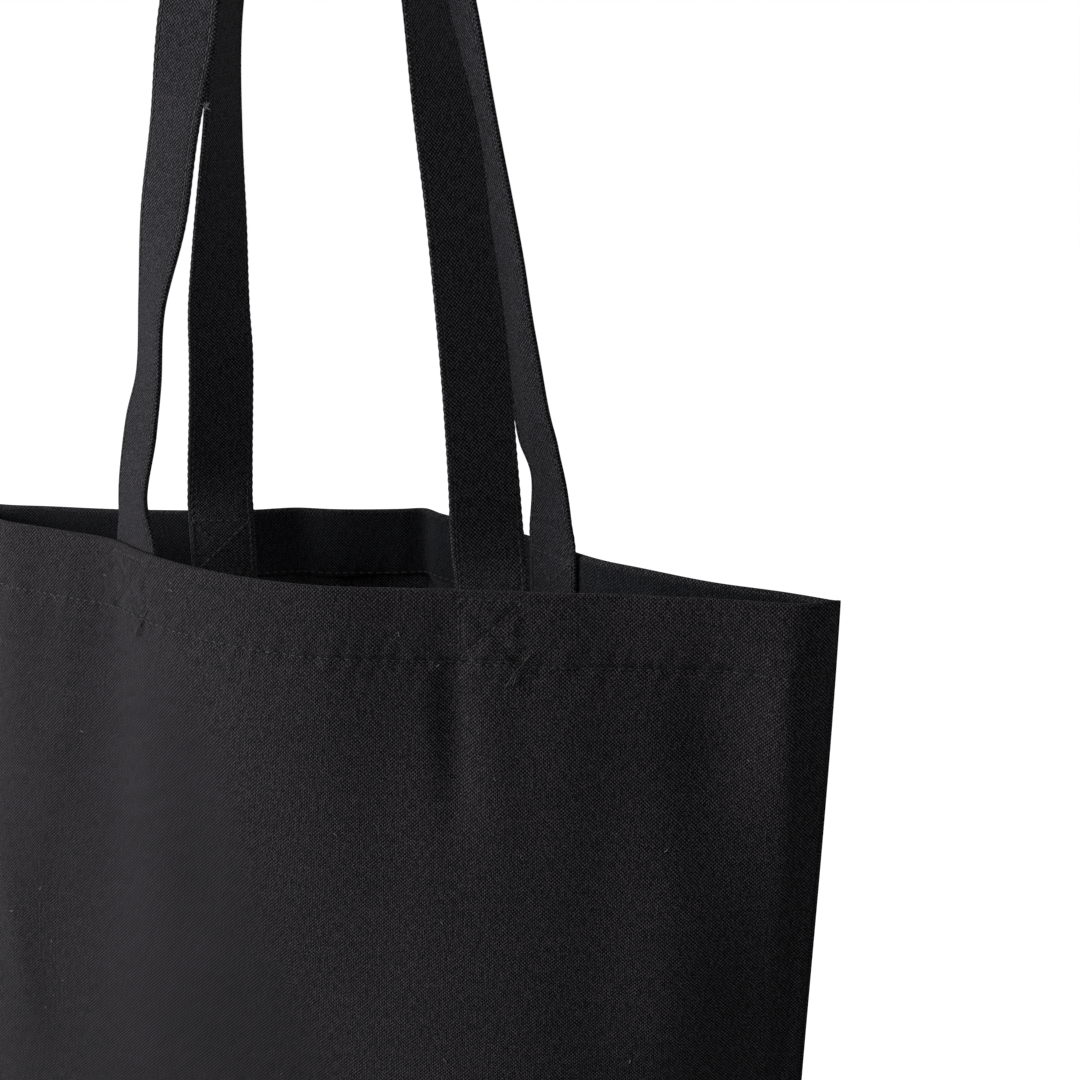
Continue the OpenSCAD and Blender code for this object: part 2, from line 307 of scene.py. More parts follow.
# Soft folds: [distance of the middle from the left seam along the cloth, lean, half width,
# depth of the middle below the mouth, half length, height, which is negative for a hollow]
FOLDS = {
    FRONT: [
        (249, 0.04, 6, 50, 34, -2.4),
        (264, 0.08, 8, 62, 40, 1.0),
        (292, 0.05, 20, 60, 55, 1.6),
        (338, 0.04, 16, 50, 48, -4.2),
        (363, 0.03, 9, 38, 32, 2.8),
        (280, 0.02, 38, 150, 150, 4.5),
        (150, -0.10, 12, 95, 60, -0.8),
        (74, -0.15, 9, 80, 90, 0.8),
        (54, 0.25, 8, 178, 35, 1.2),
        (372, 0.0, 3, 130, 90, -3.0),
        (332, 0.0, 24, 145, 75, 5.0),
    ],
    BACK: [
        (120, 0.10, 10, 55, 40, -1.6),
        (262, -0.12, 12, 60, 45, 1.6),
        (300, 0.05, 12, 110, 70, -1.5),
        (190, 0.0, 16, 120, 80, 1.4),
    ],
}


def folds(side, s, z):
    """How far soft folds and waves push the cloth out."""
    u = s * FLAT_WIDTH
    down = HEIGHT - z
    push = np.zeros(np.broadcast(u, down).shape)
    for size, length, lean, start in WAVES[side]:
        push = push + size * np.sin(2 * math.pi * (u + lean * down) / length + start)
    push = push * smooth((down - 4) / 60)
    for place, lean, width, depth, reach, size in FOLDS[side]:
        across = (u - place - lean * (down - depth)) / width
        push = push + size * np.exp(-(across**2) - ((down - depth) / reach) ** 2)
    ends = smooth(u / 20) * smooth((FLAT_WIDTH - u) / 20)
    return push * ends * smooth(z / 30)


def wall(side, s, z, out):
    """Points of the wall at a distance out from the outside of the panel (negative is inside)."""
    s, z, out = np.broadcast_arrays(np.asarray(s, float), np.asarray(z, float), np.asarray(out, float))
    x, y = plan(side, s, z)
    step = 0.004
    least_gap = 0.05
    after = plan(side, np.minimum(s + step, 1), z)
    before = plan(side, np.maximum(s - step, 0), z)
    dx = after[0] - before[0]
    dy = after[1] - before[1]
    size = np.hypot(dx, dy)
    push = out + folds(side, s, z)
    x2 = x - side * push * dy / size
    y2 = y + side * push * dx / size
    middle = (plan(FRONT, s, z)[1] + plan(BACK, s, z)[1]) / 2
    y2 = side * np.maximum(side * y2, side * middle + least_gap)
    return np.stack([x2, y2, z], -1)


def strap_share(side, hand):
    """Share of the panel's width where the middle of a strap passes the mouth."""
    return float(np.interp(STRAP_X[side, hand], SECTIONS[side][2][:, 0], SHARES))


def segment_distance(px, py, a, b):
    """Distance of the points px, py from the line between a and b."""
    ab = np.subtract(b, a)
    t = np.clip(((px - a[0]) * ab[0] + (py - a[1]) * ab[1]) / (ab @ ab), 0, 1)
    return np.hypot(px - a[0] - t * ab[0], py - a[1] - t * ab[1])


def box_rows(side, hand):
    """The rows of a box of stitches, as pairs of [distance along the cloth, depth below the mouth]."""
    mid = strap_share(side, hand) * FLAT_WIDTH
    left, right = mid - BOX_HALF, mid + BOX_HALF
    top, bottom = BOX_TOP, BOX_TOP + BOX_HEIGHT
    corners = [(left, top), (right, top), (right, bottom), (left, bottom)]
    return [(corners[i], corners[j]) for i, j in ((0, 1), (1, 2), (2, 3), (3, 0), (0, 2), (1, 3))]


def stitched_relief(side, u, down):
    """Relief of the outside: hem ridge, stitch groove, puckers, sewn-down boxes and side seams."""
    u, down = np.broadcast_arrays(u, down)
    row = down - HEM_ROW
    ridge = 0.4 * smooth(-row / 3) * smooth((down - 1.5) / 4)
    stitch = np.cos(2 * math.pi * u / HEM_PITCH)
    groove = (-0.5 + 0.14 * stitch) * np.exp(-((row / 1.3) ** 2))
    drift = 2.2 * np.sin(u / 17) + 1.7 * np.sin(u / 7.3 + 1)
    pucker = 0.26 * np.sin(2 * math.pi * (u + 0.35 * row) / 9.1 + drift) * np.exp(-np.abs(row) / 7)
    pucker += 0.16 * np.sin(2 * math.pi * (u - 0.5 * row) / 5.7 + 1.4 * drift) * np.exp(-np.abs(row) / 5)
    relief = ridge + groove + pucker * smooth((down - 2) / 6)
    for hand in (LEFT, RIGHT):
        near = np.minimum.reduce([segment_distance(u, down, a, b) for a, b in box_rows(side, hand)])
        mid = strap_share(side, hand) * FLAT_WIDTH
        inside = smooth((BOX_HALF + 1.5 - np.abs(u - mid)) / 2)
        inside = inside * smooth((BOX_TOP + BOX_HEIGHT + 2 - down) / 2)
        relief = relief + 0.35 * inside * smooth(near / 3) * smooth((down - 1.5) / 2)
        relief = relief - 0.42 * np.exp(-((near / 1.0) ** 2))
    edge = np.minimum(u, FLAT_WIDTH - u)
    return relief * smooth(edge / 6) - 0.5 * np.exp(-((edge / 2.0) ** 2))


# ---------------------------------------------------------------- making meshes


def new_piece(name, points, faces, uv, material, slot):
    """A mesh object from points in mm, faces, and the cloth's own coordinates in metres."""
    mesh = bpy.data.meshes.new(name)
    mesh.from_pydata((np.asarray(points) * MM).tolist(), [], [tuple(int(i) for i in f) for f in faces])
    loops = np.zeros(len(mesh.loops), np.int32)
    mesh.loops.foreach_get("vertex_index", loops)
    layer = mesh.uv_layers.new(name="cloth")
    layer.data.foreach_set("uv", np.asarray(uv, np.float32)[loops].ravel())
    mesh.polygons.foreach_set("use_smooth", np.ones(len(mesh.polygons), bool))
    mesh.materials.append(material)
    work = bmesh.new()
    work.from_mesh(mesh)
    bmesh.ops.recalc_face_normals(work, faces=work.faces)
    work.to_mesh(mesh)
    work.free()
    piece = bpy.data.objects.new(name, mesh)
    bpy.context.collection.objects.link(piece)
    return piece


def sheet_faces(rows, cols, first=0):
    """Faces of a closed sheet between two grids of points, the second stored after the first."""
    at = first + np.arange(rows * cols).reshape(rows, cols)
    under = at + rows * cols
    faces = []
    for grid, flip in ((at, False), (under, True)):
        a, b, c, d = grid[:-1, :-1], grid[:-1, 1:], grid[1:, 1:], grid[1:, :-1]
        quad = np.stack([a, d, c, b] if flip else [a, b, c, d], -1).reshape(-1, 4)
        faces.append(quad)
    rims = [(at[0], under[0], True), (at[-1], under[-1], False), (at[:, 0], under[:, 0], False)]
    rims.append((at[:, -1], under[:, -1], True))
    for top, low, flip in rims:
        quad = [top[:-1], top[1:], low[1:], low[:-1]]
        faces.append(np.stack(quad if flip else quad[::-1], -1))
    return np.vstack(faces)


def sheet_piece(name, outer, inner, u, v, material, slot, extra=None):
    """A closed sheet of cloth between two grids. extra holds further (outer, inner, u, v) islands."""
    points, faces, uvs = [], [], []
    count = 0
    for top, under, gu, gv in [(outer, inner, u, v)] + (extra or []):
        rows, cols = top.shape[:2]
        flat = np.stack(np.broadcast_arrays(gu, gv), -1).reshape(-1, 2) * MM
        points += [top.reshape(-1, 3), under.reshape(-1, 3)]
        uvs += [flat, flat]
        faces.append(sheet_faces(rows, cols, count))
        count += 2 * rows * cols
    return new_piece(name, np.vstack(points), np.vstack(faces), np.vstack(uvs), material, slot)


# ---------------------------------------------------------------- materials


class Nodes:
    """A material with a Principled shader, and short names for adding nodes to it."""

    def __init__(self, name):
        self.material = bpy.data.materials.new(name)
        self.material.use_nodes = True
        self.tree = self.material.node_tree
        self.shader = self.tree.nodes["Principled BSDF"]

    def link(self, source, target):
        self.tree.links.new(source, target)

    def put(self, socket, value):
        """Set a socket to a number, or link another node's output to it."""
        if isinstance(value, (int, float)):
            socket.default_value = value
        else:
            self.link(value, socket)

    def math(self, operation, a, b=0.0):
        node = self.tree.nodes.new("ShaderNodeMath")
        node.operation = operation
        self.put(node.inputs[0], a)
        self.put(node.inputs[1], b)
        return node.outputs[0]

    def noise(self, vector, scale, detail=2.0, rough=0.5):
        node = self.tree.nodes.new("ShaderNodeTexNoise")
        node.inputs["Scale"].default_value = scale
        node.inputs["Detail"].default_value = detail
        node.inputs["Roughness"].default_value = rough
        self.link(vector, node.inputs["Vector"])
        return node.outputs["Fac"]

    def stretch(self, vector, x, y):
        """The vector with its first two parts multiplied by x and y."""
        node = self.tree.nodes.new("ShaderNodeVectorMath")
        node.operation = "MULTIPLY"
        node.inputs[1].default_value = (x, y, 1)
        self.link(vector, node.inputs[0])
        return node.outputs[0]

    def ramp(self, value, stops):
        """A colour that depends on the value, through stops of (value, colour)."""
        node = self.tree.nodes.new("ShaderNodeValToRGB")
        elements = node.color_ramp.elements
        while len(elements) < len(stops):
            elements.new(0.5)
        for element, (place, color) in zip(elements, stops):
            element.position = place
            element.color = (*color, 1)
        self.link(value, node.inputs[0])
        return node.outputs[0]


def woven_material(name, pitch, pit_shade, yarn, fuzz_and_highlight, roughness, bump):
    """Plain-woven cotton: warp and weft over and under, uneven yarns, and paler fibres on top.

    pitch (from yarn to yarn) and bump are in mm. The three colours are painted shade between the
    yarns, the yarns' own colour, and paler fibres brightened further by a painted highlight.
    """
    n = Nodes(name)
    place = n.tree.nodes.new("ShaderNodeUVMap")
    place.uv_map = "cloth"
    cloth = place.outputs[0]
    split = n.tree.nodes.new("ShaderNodeSeparateXYZ")
    n.link(n.stretch(cloth, 1 / (pitch * MM), 1 / (pitch * MM)), split.inputs[0])
    wobble = n.math("MULTIPLY", n.noise(cloth, 420, 2), 0.9)
    across = n.math("ADD", split.outputs["X"], wobble)
    along = n.math("ADD", split.outputs["Y"], wobble)
    warp = n.math("SINE", n.math("MULTIPLY", across, math.pi))
    weft = n.math("SINE", n.math("MULTIPLY", along, math.pi))
    checker = n.math("MULTIPLY", warp, weft)
    over = n.math("MULTIPLY", checker, 0.45)
    warp_top = n.math("MULTIPLY", n.math("ABSOLUTE", warp), n.math("ADD", over, 0.55))
    weft_top = n.math("MULTIPLY", n.math("ABSOLUTE", weft), n.math("SUBTRACT", 0.55, over))
    height = n.math("MAXIMUM", warp_top, weft_top)
    slub = n.noise(n.stretch(cloth, 1.0, 0.3), 900, 1)
    fibre = n.noise(cloth, 1250, 3, 0.7)
    patch = n.noise(cloth, 28, 3)
    # The tone picks the colour: its dark end is painted shade between the yarns, its bright end paler
    # fibres with a painted highlight.
    tone_shade_and_highlight = n.math("ADD", n.math("MULTIPLY", checker, 0.62), n.math("MULTIPLY", patch, 0.16))
    tone_shade_and_highlight = n.math("ADD", tone_shade_and_highlight, n.math("MULTIPLY", slub, 0.7))
    tone_shade_and_highlight = n.math("ADD", tone_shade_and_highlight, n.math("MULTIPLY", fibre, 2.1))
    tone_shade_and_highlight = n.math("SUBTRACT", tone_shade_and_highlight, 1.0)
    color = n.ramp(tone_shade_and_highlight, [(0.1, pit_shade), (0.5, yarn), (1.0, fuzz_and_highlight)])
    n.link(color, n.shader.inputs["Base Color"])
    n.shader.inputs["Roughness"].default_value = roughness
    n.shader.inputs["Specular IOR Level"].default_value = 0.12
    n.shader.inputs["Sheen Weight"].default_value = 0.03
    n.shader.inputs["Sheen Roughness"].default_value = 0.5
    relief = n.math("ADD", height, n.math("MULTIPLY", fibre, 0.35))
    node = n.tree.nodes.new("ShaderNodeBump")
    node.inputs["Strength"].default_value = 0.8
    node.inputs["Distance"].default_value = bump * MM
    n.link(relief, node.inputs["Height"])
    n.link(node.outputs[0], n.shader.inputs["Normal"])
    return n.material


def thread_material(name, ply_groove_shade, light):
    """Twisted sewing thread: two plies wound round each other, slightly glossy, with painted shade in the
    grooves between the plies.
    """
    n = Nodes(name)
    place = n.tree.nodes.new("ShaderNodeUVMap")
    place.uv_map = "cloth"
    split = n.tree.nodes.new("ShaderNodeSeparateXYZ")
    n.link(place.outputs[0], split.inputs[0])
    twist = 5200
    turn = n.math("ADD", n.math("MULTIPLY", split.outputs["X"], twist), split.outputs["Y"])
    ply = n.math("ABSOLUTE", n.math("SINE", turn))
    # The colour darkens towards the grooves between the plies: painted shade.
    n.link(n.ramp(ply, [(0.1, ply_groove_shade), (0.9, light)]), n.shader.inputs["Base Color"])
    n.shader.inputs["Roughness"].default_value = 0.55
    n.shader.inputs["Specular IOR Level"].default_value = 0.25
    node = n.tree.nodes.new("ShaderNodeBump")
    node.inputs["Strength"].default_value = 0.7
    node.inputs["Distance"].default_value = 0.08 * MM
    n.link(ply, node.inputs["Height"])
    n.link(node.outputs[0], n.shader.inputs["Normal"])
    return n.material


# The darkest colour of each weave is painted shade between the yarns, and the palest is paler fibres with
# a painted highlight.
canvas = woven_material(
    "canvas",
    pitch=0.68,
    pit_shade=(0.0007, 0.0007, 0.0009),
    yarn=(0.0066, 0.0059, 0.0073),
    fuzz_and_highlight=(0.068, 0.0612, 0.0712),
    roughness=0.9,
    bump=0.3,
)
# A darker copy of the canvas for the hem and seams inside the bag: painted shade.
canvas_inside = woven_material(
    "canvas_inside",
    pitch=0.66,
    pit_shade=(0.0003, 0.0004, 0.0007),
    yarn=(0.0029, 0.0032, 0.0042),
    fuzz_and_highlight=(0.031, 0.0325, 0.041),
    roughness=0.92,
    bump=0.3,
)
strap_canvas = woven_material(
    "strap",
    pitch=0.66,
    pit_shade=(0.0007, 0.0007, 0.0009),
    yarn=(0.0066, 0.006, 0.0076),
    fuzz_and_highlight=(0.062, 0.0575, 0.069),
    roughness=0.9,
    bump=0.3,
)
thread = thread_material("thread", ply_groove_shade=(0.008, 0.008, 0.0088), light=(0.034, 0.034, 0.036))
lint = thread_material("lint", ply_groove_shade=(0.16, 0.16, 0.17), light=(0.3, 0.3, 0.31))

# ---------------------------------------------------------------- panels and hems


def wall_profile():
    """Outline of the cloth from the base up the wall, over the rim and down to the hem: (out, z)."""
    turn = np.linspace(0, math.pi / 2, 5)[:-1]
    foot = [(-BASE_RADIUS * (1 - math.sin(t)), BASE_RADIUS * (1 - math.cos(t))) for t in turn]
    body_top = HEIGHT - 36
    body = [(0, z) for z in np.linspace(BASE_RADIUS, body_top, 104)]
    hem_zone = [(0, z) for z in np.linspace(body_top, HEIGHT - RIM_RADIUS, 42)[1:]]
    over = np.linspace(0, math.pi, 8)[1:]
    rim = [(RIM_RADIUS * (math.cos(t) - 1), HEIGHT - RIM_RADIUS + RIM_RADIUS * math.sin(t)) for t in over]
    lip = [(HEM_INNER, HEIGHT - RIM_RADIUS - 0.9)]
    return np.array(foot + body + hem_zone + rim + lip, float)


def offset_profile(line, distance):
    """The same outline moved to the left of its direction: inwards on the wall, down at the rim."""
    step = np.gradient(line, axis=0)
    step /= np.linalg.norm(step, axis=1)[:, None]
    return line + distance * np.stack([-step[:, 1], step[:, 0]], 1)


def panel_piece(side):
    """One layer of cloth: the wall with its rim and lip, and half of the base."""
    name = f"{SIDES[side]}_panel"
    profile = wall_profile()
    inner_profile = offset_profile(profile, CLOTH)
    inner_profile[:, 1] = np.maximum(inner_profile[:, 1], CLOTH)
    u = np.linspace(0, FLAT_WIDTH, 2 * HEM_STITCHES + 1)[None, :]
    s = u / FLAT_WIDTH
    down = HEIGHT - profile[:, 1][:, None]
    on_wall = profile[:, 0][:, None] > -0.5
    relief = np.where(on_wall, stitched_relief(side, u, down), 0)
    outer = wall(side, s, profile[:, 1][:, None], profile[:, 0][:, None] + relief)
    under = wall(side, s, inner_profile[:, 1][:, None], inner_profile[:, 0][:, None] + 0.6 * relief)
    run = np.concatenate([[0], np.cumsum(np.linalg.norm(np.diff(profile, axis=0), axis=1))])
    half_w = BASE_WIDTH / 2 - BASE_RADIUS
    depth = BASE_DEPTH / 2 - BASE_RADIUS
    x = np.linspace(-half_w, half_w, 120)[None, :]
    y = side * np.linspace(depth, 0.15, 18)[:, None]
    bx, by = np.broadcast_arrays(x, y)
    seam = 0.5 * np.exp(-((np.abs(by) / 2.0) ** 2))
    base_low = np.stack([bx, by, seam + 0 * bx], -1)
    base_high = np.stack([bx, by, seam + CLOTH + 0 * bx], -1)
    base = (base_low, base_high, bx + FLAT_WIDTH / 2, -np.abs(depth - np.abs(by)))
    piece = sheet_piece(name + "_cloth", outer, under, u, run[:, None], canvas, "canvas", [base])
    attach(piece, "bag")
    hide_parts(name)
    return piece


def hem_piece(side):
    """The turned-down hem: two plies folded at the lower edge, stitched through near it."""
    name = f"{SIDES[side]}_hem"
    top = RIM_RADIUS + 0.95
    fold = 0.7
    rows = 24
    straight = np.linspace(top, HEM_DEPTH - fold, rows)
    rounded = HEM_DEPTH - fold + fold * np.array([0.6, 0.9, 1.0])
    down = np.concatenate([straight, rounded])[:, None]
    thin = np.concatenate([np.zeros(rows), fold * np.array([0.25, 0.6, 0.95])])[:, None]
    u = np.linspace(3, FLAT_WIDTH - 3, 2 * (HEM_STITCHES - 2) + 1)[None, :]
    row = down - HEM_ROW
    stitch = np.cos(2 * math.pi * u / HEM_PITCH)
    drift = 2.0 * np.sin(u / 15 + 2)
    dents = (0.35 - 0.1 * stitch) * np.exp(-((row / 1.2) ** 2))
    pucker = 0.2 * np.sin(2 * math.pi * (u + 0.4 * row) / 8.3 + drift) * np.exp(-np.abs(row) / 6)
    wavy = 0.35 * np.sin(u / 11) + 0.25 * np.sin(u / 4.3 + 1)
    z = HEIGHT - down - wavy * smooth((down - 10) / 16)
    shown = wall(side, u / FLAT_WIDTH, z, HEM_INNER + thin + dents + pucker * smooth((down - 3) / 5))
    hidden = wall(side, u / FLAT_WIDTH, z, HEM_OUTER - thin)
    piece = sheet_piece(
        name + "_cloth", hidden, shown, u, HEM_CLOTH + down, canvas_inside, "canvas_inside")
    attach(piece, "bag")
    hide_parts(name)
    return piece


def side_seam_piece(hand):
    """The overlocked seam allowances standing inside one side of the bag."""
    name = f"{HANDS[hand]}_side_seam"
    z = np.linspace(7, HEIGHT - HEM_DEPTH - 3, 130)
    s = 0.0 if hand == LEFT else 1.0
    x0, y0 = plan(FRONT, s, z)
    wave = 0.5 * np.sin(z / 6.1) + 0.35 * np.sin(z / 2.7)
    out = np.array([1.0, 3.5, 6.5, 9.0, 10.0])
    lean = out[None, :] / 10 * 1.6 * np.sin(z / 31)[:, None]
    x = x0[:, None] - hand * (out[None, :] + 0.05 * wave[:, None] * out[None, :])
    y = y0[:, None] + lean
    zz = np.broadcast_to(z[:, None], x.shape)
    half = 0.75 - 0.25 * (out / 10) ** 6
    near = np.stack([x, y - half, zz], -1)
    far = np.stack([x, y + half, zz], -1)
    across = SIDE_SEAM_CLOTH + out[None, :]
    return sheet_piece(name + "_allowance", near, far, across, z[:, None], canvas_inside, "canvas_inside")


def bottom_seam_piece():
    """The seam allowances standing along the middle of the base."""
    run = np.linspace(-BASE_WIDTH / 2 + 12, BASE_WIDTH / 2 - 12, 130)
    up = np.array([0.0, 3, 6, 8.6, 9.6]) + CLOTH + 0.4
    lean = 1.5 * np.sin(run / 23)[:, None] * (up / 10)[None, :]
    x = np.broadcast_to(run[:, None], lean.shape)
    zz = np.broadcast_to(up[None, :], lean.shape)
    near = np.stack([x, lean - 0.7, zz], -1)
    far = np.stack([x, lean + 0.7, zz], -1)
    along = run[:, None] + BOTTOM_SEAM_CLOTH
    return sheet_piece(
        "bottom_seam_allowance", near, far, along, up[None, :], canvas_inside, "canvas_inside")


def corner_seam_piece(hand):
    """The seam allowances of one boxed corner, lying on the base."""
    name = f"{HANDS[hand]}_corner_seam"
    y = np.linspace(-BASE_DEPTH / 2 + 4, BASE_DEPTH / 2 - 4, 44)[:, None]
    inward = np.array([0.0, 3, 6, 8.8, 9.8])[None, :]
    x = hand * (BASE_WIDTH / 2 - 1.6 - inward) + 0 * y
    z0 = CLOTH + 0.35 + inward / 10 * (0.7 + 0.6 * np.sin(y / 7))
    yy = y + 0 * inward
    low = np.stack([x, yy, z0], -1)
    high = np.stack([x, yy, z0 + 1.3], -1)
    return sheet_piece(
        name + "_allowance", low, high, yy, inward + CORNER_SEAM_CLOTH, canvas_inside, "canvas_inside")


def inside_seams():
    """All the seam allowances inside the bag, by the names of their CAD parts."""
    pieces = {
        "left_side_seam": side_seam_piece(LEFT),
        "right_side_seam": side_seam_piece(RIGHT),
        "bottom_seam": bottom_seam_piece(),
        "left_corner_seam": corner_seam_piece(LEFT),
        "right_corner_seam": corner_seam_piece(RIGHT),
    }
    for name, piece in pieces.items():
        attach(piece, "bag")
        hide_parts(name)
    return pieces


# ---------------------------------------------------------------- handles

# Handle routes from the left leg over the top to the right leg, changed from those of the CAD to
# follow the photo: [x, y, height above the mouth, turn of the strap's width from +X in degrees]
ROUTES = {
    FRONT: [
        [-73.2, -29, 20, -36], [-68.6, -27.5, 44, -33], [-64.5, -26, 63, -38], [-61.8, -24.5, 90, -37],
        [-56, -22, 120, -20], [-50.4, -20, 150, -18], [-43.2, -17, 190, -9], [-36, -15, 232, -50],
        [-21, -15, 270, -75], [0, -15, 285, -90], [21, -15, 270, -102], [36, -16, 232, -100],
        [43.3, -17, 190, -100], [51.4, -20, 150, -121], [55.8, -22, 120, -123], [61.4, -24.5, 80, -131],
        [65.3, -27, 40, -138], [67, -28.5, 20, -148]],
    BACK: [
        [-63.6, 16.5, 20, 36], [-61.5, 16, 40, 45], [-59.6, 15.5, 62, 49], [-58.8, 15, 82, 57],
        [-56.2, 14.5, 108, 70], [-52.5, 14, 145, 88], [-47.2, 14, 190, 95], [-37, 14, 232, 94],
        [-21, 14, 270, 91], [0, 14, 285, 92], [20, 14, 270, 105], [33, 14, 232, 128],
        [40, 14, 190, 145], [47.5, 15, 150, 143], [56, 16.5, 110, 140], [61.6, 18, 77, 139],
        [64.8, 19.5, 53, 141], [67.3, 20.5, 39, 145], [71, 21.5, 24, 140]],
}


def rim_start(side, hand):
    """Middle of a strap where it crosses the mouth, and the turn of the rim there."""
    s = strap_share(side, hand)
    point = wall(side, s, HEIGHT, STRAP_MIDDLE)
    ahead = plan(side, s + 0.03, HEIGHT)
    behind = plan(side, s - 0.03, HEIGHT)
    turn = math.degrees(math.atan2(ahead[1] - behind[1], ahead[0] - behind[0]))
    return [point[0], point[1], 0.0, turn]


def route_curve(points, u):
    """Catmull-Rom curve through the points, at places u from 0 to len(points) - 1."""
    p = np.array(points, float)
    i = np.clip(np.floor(u).astype(int), 0, len(p) - 2)
    t = (u - i)[:, None]
    a, b, c, d = p[np.maximum(i - 1, 0)], p[i], p[i + 1], p[np.minimum(i + 2, len(p) - 1)]
    return (
        b + (c - a) * t / 2 + (2 * a - 5 * b + 4 * c - d) * t * t / 2
        + (3 * b - a - 3 * c + d) * t**3 / 2
    )


class Strap:
    """The centre line of one handle with its frame, from sewn end to sewn end, every half stitch."""

    def __init__(self, side):
        self.side = side
        half_turn = -180 if side == FRONT else 180
        left = rim_start(side, LEFT)
        right = rim_start(side, RIGHT)
        points = [left] + ROUTES[side] + [right[:3] + [right[3] + half_turn]]
        u = np.linspace(0, len(points) - 1, 3000)
        line = route_curve(points, u)
        run = np.concatenate([[0], np.cumsum(np.linalg.norm(np.diff(line[:, :3], axis=0), axis=1))])
        self.free = run[-1]
        count = int(round((self.free + 2 * STRAP_DOWN) / EDGE_PITCH)) * 2
        self.run = np.linspace(-STRAP_DOWN, self.free + STRAP_DOWN, count + 1)
        free_run = np.clip(self.run, 0, self.free)
        values = np.stack([np.interp(free_run, run, line[:, i]) for i in range(4)], 1)
        self.drop = np.maximum(np.maximum(-self.run, self.run - self.free), 0)
        self.hand = np.where(self.run < self.free / 2, LEFT, RIGHT)
        centre = values[:, :3].copy()
        centre[:, 2] += HEIGHT - self.drop
        ahead = np.gradient(centre, axis=0)
        ahead /= np.linalg.norm(ahead, axis=1)[:, None]
        turn = np.radians(values[:, 3])
        wide = np.stack([np.cos(turn), np.sin(turn), np.zeros(len(turn))], 1)
        wide -= ahead * np.sum(wide * ahead, axis=1)[:, None]
        wide /= np.linalg.norm(wide, axis=1)[:, None]
        self.centre = centre
        self.ahead = ahead
        self.wide = wide
        self.face = np.cross(ahead, wide)

    def waves(self, k, w):
        """How far the free strap waves, and the back right leg is creased, at the place w across it."""
        run = self.run[k]
        up = self.centre[k][..., 2] - HEIGHT
        short_wave = 0.25 * np.sin(run / 13 + 0.5 * self.side) * np.sin(w / 9 + 1)
        long_wave = 0.2 * np.sin(run / 29 + w / 14)
        push = short_wave + long_wave
        if self.side == BACK:
            creased = smooth((up - 12) / 20) * smooth((105 - up) / 25) * (self.hand[k] == RIGHT)
            crease_line = 5.5 - 0.13 * up
            crease_depth, crease_width = 2.2, 4
            push = push - crease_depth * creased * np.exp(-np.abs(w - crease_line) / crease_width)
        return push * smooth((up - 4) / 20)

    def points(self, k, w, t):
        """Points at the stations k, w across the strap and t through it (arrays of one shape)."""
        t = t + self.waves(k, w)
        free = self.centre[k] + self.wide[k] * w[..., None] + self.face[k] * t[..., None]
        hand = self.hand[k]
        mid = np.where(hand == LEFT, strap_share(self.side, LEFT), strap_share(self.side, RIGHT))
        s = mid - hand * w / FLAT_WIDTH
        z = self.centre[k][..., 2]
        sewn = wall(self.side, s, z, SEWN_MIDDLE + self.side * t * SEWN_SQUEEZE)
        loose = smooth((z - HEIGHT + 1) / 12)[..., None]
        return sewn * (1 - loose) + free * loose


def strap_section(stitch):
    """A quarter of the strap's section, from the middle of a face to that of an edge.

    The points are (across, through). stitch is 1 at the middle of a stitch and -1 between two.
    """
    half = STRAP_WIDTH / 2
    deep = STRAP_THICKNESS / 2
    bump = 0.1 * stitch
    return [
        (0.0, deep + 0.05),
        (4.5, deep + 0.03),
        (8.2, deep + 0.02),
        (9.7, deep - 0.05),
        (half - EDGE_INSET, deep - 0.42 - bump),
        (11.2, deep - 0.12),
        (11.9, deep - 0.25),
        (half - 0.15 + bump, 0.62),
        (half + 0.05 + bump, 0.3),
        (half - 0.35, 0.0),
    ]


def strap_piece(strap, name, end_names):
    """The whole strap: folded canvas, grooved along its stitches and notched along its edges."""
    stations = len(strap.run)
    phase = np.cos(math.pi * np.arange(stations))
    rows = []
    for k in range(stations):
        quarter = strap_section(phase[k])
        back = [(w, -t) for w, t in quarter[-2::-1]]
        right = quarter + back
        left = [(-w, t) for w, t in right[-2:0:-1]]
        rows.append(right + left)
    section = np.array(rows)
    count = section.shape[1]
    w = section[:, :, 0]
    t = section[:, :, 1]
    run = strap.run[:, None]
    k = np.arange(stations)[:, None] + np.zeros((1, count), int)
    grid = strap.points(k, w, t)
    at = np.arange(stations * count).reshape(stations, count)
    nxt = np.roll(at, -1, axis=1)
    quads = np.stack([at[:-1], nxt[:-1], nxt[1:], at[1:]], -1).reshape(-1, 4)
    faces = [tuple(q) for q in quads] + [tuple(at[0][::-1]), tuple(at[-1])]
    around = np.where(t >= 0, w, STRAP_BACK_CLOTH - w)
    uv = np.stack([around + 0 * run, run + 0 * w], -1).reshape(-1, 2) * MM
    piece = new_piece(name + "_strap", grid.reshape(-1, 3), faces, uv, strap_canvas, "strap")
    bend_handle(piece)
    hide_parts(name, *end_names)
    return piece


def bend_handle(piece):
    """Bakes the piece's placement into its mesh."""
    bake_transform(piece)


# ---------------------------------------------------------------- stitches


def capsule():
    """A stitch along X from -1 to 1: rings of points, narrower and closed at both ends."""
    rings, sides = 7, 6
    points, faces = [], []
    for i in range(rings):
        t = -1 + 2 * i / (rings - 1)
        radius = max(1 - abs(t) ** 3, 0.06) ** 0.6
        for j in range(sides):
            a = 2 * math.pi * j / sides
            points.append((t, radius * math.cos(a), radius * math.sin(a)))
    for i in range(rings - 1):
        for j in range(sides):
            k = (j + 1) % sides
            faces.append((i * sides + j, i * sides + k, (i + 1) * sides + k, (i + 1) * sides + j))
    faces.append(tuple(range(sides))[::-1])
    faces.append(tuple((rings - 1) * sides + j for j in range(sides)))
    return np.array(points), faces


